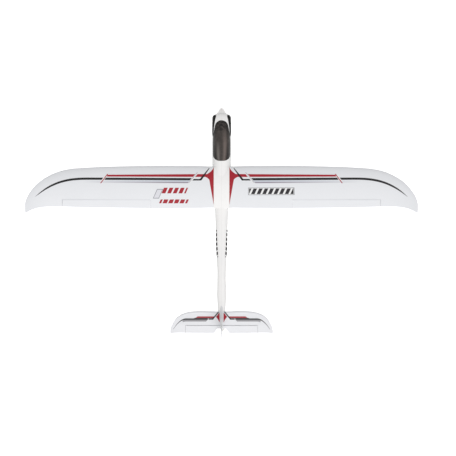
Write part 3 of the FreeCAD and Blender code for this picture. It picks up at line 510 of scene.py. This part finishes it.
def hinge_strip(name, start, end, across, up, moving, thick=0.0006):
    """A grooved strip between two points on a hinge line.

    Its height over the line is minus a bell curve of the distance across it, so a
    shallow groove runs down the middle; its underside is flat.
    """
    start, end, across, up = map(np.array, (start, end, across, up))
    wide = np.linspace(-STRIP_HALF, STRIP_HALF, STRIP_ACROSS)
    groove = thick / 2 - 0.5 * thick * np.exp(-(wide / 0.00028) ** 2)
    underside = np.full(STRIP_ACROSS, -thick / 2)
    section = np.concatenate([np.stack([wide, groove], 1), np.stack([wide[::-1], underside], 1)])
    share = np.linspace(0, 1, STRIP_ALONG)[:, None, None]
    points = (start + share * (end - start) + section[None, :, :1] * across
              + section[None, :, 1:] * up)
    piece = outward(put(name, points, grid_faces(STRIP_ALONG, 2 * STRIP_ACROSS), web))
    middle = (start + end) / 2
    tuple(middle - across * STRIP_FLEX)
    tuple(middle + across * STRIP_FLEX)
    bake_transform(piece)


pivots = {joint["name"]: joint for joint in frame["record"]["behaviour"]["joints"]}
for side in ("left", "right"):
    pivot, line = (np.array(pivots["aileron_hinge_" + side][key]) for key in ("pos_m", "axis"))
    low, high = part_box("aileron_" + side)
    inner, outer = (pivot + line * ((x - pivot[0]) / line[0])
                    for x in (low[0] + STRIP_END, high[0] - STRIP_END))
    up = np.cross(line, (0, 1, 0))
    hinge_strip("aileron_hinge_strip_" + side, inner, outer, (0, 1, 0), up,
                "aileron_" + side)
pivot = np.array(pivots["elevator_hinge"]["pos_m"])
half_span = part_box("elevator")[1][0] - STRIP_END
hinge_strip("elevator_hinge_strip", pivot - (half_span, 0, 0), pivot + (half_span, 0, 0),
            (0, 1, 0), (0, 0, 1), "elevator", 0.001)
pivot = np.array(pivots["rudder_hinge"]["pos_m"])
strip_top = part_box("rudder")[1][2] - 0.003
for name, low_z, high_z in (("upper", PASSAGE[1], strip_top), ("lower", RUDDER_FOOT, PASSAGE[0])):
    hinge_strip("rudder_hinge_strip_" + name, (0, pivot[1], low_z), (0, pivot[1], high_z),
                (0, 1, 0), (1, 0, 0), "rudder", 0.001)


# ---- Canopy pegs, wing ribs and other white mouldings ------------------------------
# Wing ribs, spar holder, wing catches, servo covers, canopy clips and the control horns
# are injection-moulded white nylon with a fine spark texture and a slight cream tone.
def moulded(name, light, dark, rough, grain=700):
    """Moulded plastic: a fine pitted grain, a slow change of tone, and rubbed patches."""
    finish = Finish(name, Specular_IOR_Level=0.4)
    pits, tone = finish.noise(grain, 3), finish.noise(22, 4)
    rubbed = finish.inside(finish.noise(95, 5) * 10 - 6.1, 1.2)
    colour = finish.mix(tone, light, dark)
    return finish.end(colour, rough + pits * 0.12 - rubbed * 0.12, pits, 0.00004)


white_nylon = moulded("white_nylon_moulding", tint(240, 239, 234), tint(224, 223, 217), 0.38)
dress(white_nylon, "spar_holder", "wing_locks", "canopy_clips", "canopy_pegs", "fin_insert",
      "elevator_horn", "rudder_horn", "wing_rib_left", "wing_rib_right", "servo_cover_left",
      "servo_cover_right", "aileron_horn_left", "aileron_horn_right")


# ---- Spar tubes and hull stiffeners ------------------------------------------------
# Pultruded carbon tubes. The fibres run lengthwise under a thin clear skin, which is
# seen as fine light streaks along each tube.
def carbon(name, stretch):
    """Black tube with pale hairlines drawn out along one axis."""
    finish = Finish(name, Specular_IOR_Level=0.5, Coat_Weight=0.3, Coat_Roughness=0.2)
    fibres = finish.noise(900, 3, stretch)
    lines = finish.inside(fibres * 10 - 5.3, 1.5)
    colour = finish.mix(lines * 0.6, tint(26, 26, 28), tint(74, 75, 79))
    return finish.end(colour, 0.3 + fibres * 0.2, fibres, 0.00003)


dress(carbon("carbon_along_span", (0.03, 1, 1)), "spar_tube_left", "spar_tube_right")
dress(carbon("carbon_along_hull", (1, 0.03, 1)), "fuselage_stiffeners")


# ---- Wires, ballast balls, hook and screws -----------------------------------------
# Pushrods and the tow hook are bright drawn steel wire, the ballast is three bearing
# balls, and the tail is held by two steel screws driven up through the hull.
def steel(name, stretch, rough):
    """Bright steel with fine drawing lines and a few dull spots."""
    finish = Finish(name, Metallic=1.0)
    drawn, dull = finish.noise(1400, 2, stretch), finish.noise(160, 4)
    colour = finish.mix(finish.inside(dull * 10 - 5.8, 2), tint(205, 206, 208), tint(158, 156, 152))
    return finish.end(colour, rough + drawn * 0.12 + dull * 0.08, drawn, 0.00001)


dress(steel("drawn_steel", (1, 0.04, 1), 0.2), "elevator_pushrod", "rudder_pushrod", "tow_hook",
      "aileron_pushrod_left", "aileron_pushrod_right")
polished = steel("polished_steel", (1, 1, 1), 0.14)
dress(polished, "trim_balls", "tail_screws")
brass = Finish("turned_brass", Metallic=1.0)
turning = brass.noise(1600, 2, (1, 0.1, 0.1))
colour = brass.mix(brass.noise(300), tint(214, 178, 108), tint(180, 140, 76))
brass.end(colour, 0.24 + turning * 0.14, turning, 0.00001)
dress(brass, "elevator_connector", "rudder_connector",
      "aileron_connector_left", "aileron_connector_right")


# ---- Plywood tray and servo shelf --------------------------------------------------
# Laser-cut birch plywood glued across the hull: pale faces with brown grain lines, and
# scorched edges that show the plies.
PLY = 0.4                   # thickness of one ply
ply = Finish("birch_plywood", Specular_IOR_Level=0.25)
level = ply.measures()[3]
grain = ply.noise(260, 5, (1.0, 0.05, 1.0))
rings = ply.noise(18, 3, (1.0, 0.25, 1.0))
edge = 1 - ply.inside(abs(ply.lift()) - 0.5, 0.2)
plies = ply.inside(ply.zigzag(level, PLY) * 5 - 1, 0.6)
colour = ply.mix(grain, tint(214, 184, 140), tint(186, 148, 100))
colour = ply.mix(ply.inside(rings * 10 - 5.4, 1.5) * 0.4, colour, tint(160, 120, 78))
colour = ply.mix(edge * (0.45 + plies * 0.4), colour, tint(86, 56, 34))
ply.end(colour, 0.62 + grain * 0.2, grain, 0.00008)
dress(ply, "equipment_tray", "servo_shelf")


# ---- Battery and strap -------------------------------------------------------------
# Four cells side by side in blue shrink wrap with a plain white band printed round it,
# held down on the tray by a strap of black woven hook-and-loop tape.
CELL_RADIUS = 8.5
wrap = Finish("battery_shrink_wrap", Specular_IOR_Level=0.5, Coat_Weight=0.2, Coat_Roughness=0.3)
station = wrap.measures()[2]
rear = (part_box("battery")[1][1] - NOSE_Y) * 1000
cells = wrap.zigzag(station, CELL_RADIUS) / CELL_RADIUS
creases = wrap.noise(120, 4, (1.0, 0.3, 1.0))
band = wrap.inside((rear - 6 - station) & (station - rear + 16))
colour = wrap.mix(creases, tint(34, 66, 132), tint(50, 88, 160))
colour = wrap.mix(band, colour, tint(224, 226, 230))
colour = wrap.mix(wrap.inside(0.8 - abs(station - rear + 11)), colour, tint(34, 66, 132))
wrap.end(colour, 0.28 + creases * 0.14, creases * 0.4 + cells * 0.6, 0.0006)
dress(wrap, "battery")

THREAD = 0.4                # width of one thread of the weave
WEAVE_GAIN = 6.2            # brings the highest crossing of two threads close to 1
tape = Finish("strap_tape", Specular_IOR_Level=0.15)
side, _, station, level = tape.measures()
weave = tape.zigzag(station, THREAD) * tape.zigzag(side + level, THREAD) * WEAVE_GAIN
loops = tape.noise(1500, 4)
colour = tape.mix(weave * 0.6 + loops * 0.4, tint(20, 20, 22), tint(66, 66, 70))
tape.end(colour, 0.85 + loops * 0.1, weave + loops, 0.0002)
dress(tape, "battery_strap")


# ---- Receiver, servos, leads and guide tubes ---------------------------------------
# Small black cases with a plain pale label, arms in black nylon, three-core leads in
# dull jackets, and milky white guide tubes for the two long wires.
def cased(name, pieces, label_middle, label_half, label_colour):
    """A dark textured case with a plain label and a red line on the faces that look up."""
    finish = Finish(name, Specular_IOR_Level=0.4)
    station = finish.measures()[2]
    pits = finish.noise(800, 3)
    tone = finish.noise(40, 3)
    upper = finish.inside(finish.lift() - 0.8, 0.1)
    label = finish.inside(label_half - abs(station - label_middle)) * upper
    line = finish.inside(0.7 - abs(station - label_middle - label_half + 3)) * upper
    colour = finish.mix(tone, tint(38, 38, 42), tint(54, 54, 60))
    colour = finish.mix(label, colour, label_colour)
    colour = finish.mix(line, colour, RED)
    finish.end(colour, 0.45 + pits * 0.15 - label * 0.12, pits * (1 - label), 0.00004)
    dress(finish, *pieces)


low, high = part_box("receiver")
receiver_middle = ((low[1] + high[1]) / 2 - NOSE_Y) * 1000
cased("receiver_case", ("receiver",), receiver_middle, 13, tint(206, 208, 212))
servo_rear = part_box("elevator_servo")[1][1]
cased("servo_case", ("elevator_servo", "rudder_servo", "aileron_servo_left", "aileron_servo_right"),
      (servo_rear - 0.009 - NOSE_Y) * 1000, 3.5, tint(196, 198, 204))
arm_nylon = moulded("servo_arm_nylon", tint(44, 44, 47), tint(58, 58, 62), 0.4)
dress(arm_nylon, "elevator_servo_arm", "rudder_servo_arm",
      "aileron_servo_arm_left", "aileron_servo_arm_right")
jacket = moulded("lead_jacket", tint(58, 42, 36), tint(78, 56, 46), 0.55, 300)
dress(jacket, "receiver_leads", "aileron_lead_left", "aileron_lead_right")
guide = moulded("guide_tube_plastic", tint(238, 238, 234), tint(222, 223, 220), 0.25, 300)
dress(guide, "elevator_guide_tube", "rudder_guide_tube")

# A row of flat three-pin plugs stands at the receiver's rear face, one on each lead.
plug_nylon = moulded("plug_nylon", tint(34, 34, 36), tint(48, 48, 52), 0.42)
PLUG = np.array((0.0012, 0.0045, 0.0038))       # half sizes
PLUG_GAP = 0.0002           # from the receiver's rear face to the plugs
PLUG_TURN = 32              # points round a plug
PLUG_RISE = 17              # rings of points from end to end


def rounded_box(half_sizes):
    """A ball whose sines and cosines are flattened by a small power before they are
    multiplied, so that its faces bulge very little and its corners stay soft."""
    turn, rise = np.meshgrid(np.linspace(0, 2 * np.pi, PLUG_TURN, endpoint=False),
                             np.linspace(-np.pi / 2, np.pi / 2, PLUG_RISE))
    turn_x, turn_z, ring, along = (np.sign(wave) * np.abs(wave) ** 0.28 for wave in
                                   (np.cos(turn), np.sin(turn), np.cos(rise), np.sin(rise)))
    return np.stack([ring * turn_x, along, ring * turn_z], -1) * half_sizes


for number, across in enumerate((-0.007, -0.0035, 0.0035, 0.007), 1):
    centre = np.array((across, high[1] + PLUG[1] + PLUG_GAP, (low[2] + high[2]) / 2))
    plug = put(f"lead_plug_{number}", centre + rounded_box(PLUG), grid_faces(PLUG_RISE, PLUG_TURN),
               plug_nylon)
    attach(outward(plug), "airframe")


# ---- Small screws ------------------------------------------------------------------
# Pan-head screws with a cross recess: one in the hub of each hull servo's arm, and two
# that hold each servo cover under the wing.
HEAD_RINGS = 13             # rings of points on a screw's head
HEAD_TURN = 40              # points round it


def cross_screw(name, centre, axis, radius, tall, body):
    """A domed head whose height falls with the square of the distance from its middle,
    pressed in along two crossed bars near the middle, on a flat underside."""
    ring, turn = np.meshgrid(np.linspace(0, 1, HEAD_RINGS + 1)[1:],
                             np.linspace(0, 2 * np.pi, HEAD_TURN, endpoint=False), indexing="ij")
    x, y = ring * np.cos(turn), ring * np.sin(turn)
    bars = (np.minimum(np.abs(x), np.abs(y)) < 0.13) & (ring < 0.62)
    top = 1 - 0.45 * ring ** 2 - 0.5 * bars
    dome = np.stack([x * radius, y * radius, top * tall], -1)
    skirt = np.stack([x[-1] * radius, y[-1] * radius, np.zeros(HEAD_TURN)], -1)[None]
    turned = np.array(Vector(axis).to_track_quat("Z", "Y").to_matrix())
    points = np.concatenate([dome, skirt]) @ turned.T + np.array(centre)
    screw = put(name, points, grid_faces(HEAD_RINGS + 1, HEAD_TURN), polished)
    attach(outward(screw), body)


for part in ("elevator", "rudder"):
    pivot = pivots[part + "_servo_turn"]["pos_m"]
    hub_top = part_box(part + "_servo_arm")[1][2]
    cross_screw(part + "_arm_screw", (pivot[0], pivot[1], hub_top), (0, 0, 1), 0.0021, 0.001,
                part + "_servo_arm")
for side in ("left", "right"):
    low, high = map(np.array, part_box("servo_cover_" + side))
    line = np.array(pivots["aileron_hinge_" + side]["axis"])
    down = -np.cross(line, (0, 1, 0)) * np.sign(line[0])
    middle, half = (low + high) / 2, (high - low) / 2
    for number, (out, aft) in enumerate(((-0.72, -0.72), (0.72, 0.72)), 1):
        spot = middle + line * out * half[0] + np.array((0, 1, 0)) * aft * half[1]
        cross_screw(f"cover_screw_{side}_{number}", spot + down * 0.0006, down,
                    0.002, 0.0009, "airframe")


# ---- Skids -------------------------------------------------------------------------
# The belly skid is a long strip of tough black plastic and the tail skid a thin blade of
# the same. Grass and tarmac leave lengthwise scratches along their lowest faces.
skid = Finish("skid_plastic", Specular_IOR_Level=0.35)
level = skid.measures()[3]
scratches = skid.noise(700, 4, (1.0, 0.02, 1.0))
worn = skid.inside(scratches * 10 - 5.2, 1.5) * skid.inside(30 - level, 20)
colour = skid.mix(skid.noise(60, 4), tint(42, 42, 44), tint(58, 58, 60))
colour = skid.mix(worn * 0.6, colour, tint(128, 126, 122))
skid.end(colour, 0.5 + scratches * 0.25, scratches, 0.00008)
dress(skid, "belly_skid", "tail_skid")


# ---- Floor, light and camera -------------------------------------------------------
# A plain white table that glows a little so that shadows stay faint, a wide soft key
# light from behind the tail, and a pale room. The camera looks straight down.
FLOOR_HALF = 6.0
FLOOR_LEVEL = -0.001
corners = [(x * FLOOR_HALF, y * FLOOR_HALF, FLOOR_LEVEL)
           for x, y in ((-1, -1), (1, -1), (1, 1), (-1, 1))]
floor_mesh = bpy.data.meshes.new("floor")
floor_mesh.from_pydata(corners, [], [(0, 1, 2, 3)])
floor = bpy.data.objects.new("floor", floor_mesh)
bpy.context.collection.objects.link(floor)
table = Finish("white_table", Base_Color=(0.8, 0.8, 0.8, 1), Roughness=0.9,
               Emission_Color=(1, 1, 1, 1), Emission_Strength=0.72)
floor_mesh.materials.append(table.material)

world = bpy.data.worlds.new("pale_room")
world.use_nodes = True
world.node_tree.nodes["Background"].inputs["Color"].default_value = (1.0, 1.0, 1.0, 1)
world.node_tree.nodes["Background"].inputs["Strength"].default_value = 0.50
bpy.context.scene.world = world

key = bpy.data.lights.new("key", "SUN")
key.energy = 1.75
key.angle = math.radians(45)
key_lamp = bpy.data.objects.new("key", key)
key_lamp.rotation_euler = (math.radians(-40), 0, math.radians(8))
bpy.context.collection.objects.link(key_lamp)

bpy.context.scene.view_settings.view_transform = "Standard"
camera = bpy.data.cameras.new("camera")
camera.lens = 74.5
camera.sensor_width = 36
camera_post = bpy.data.objects.new("camera", camera)
camera_post.location = (-0.030, 0.0256, 4.5)
camera_post.rotation_euler = (0, 0, math.pi)
bpy.context.collection.objects.link(camera_post)
bpy.context.scene.camera = camera_post
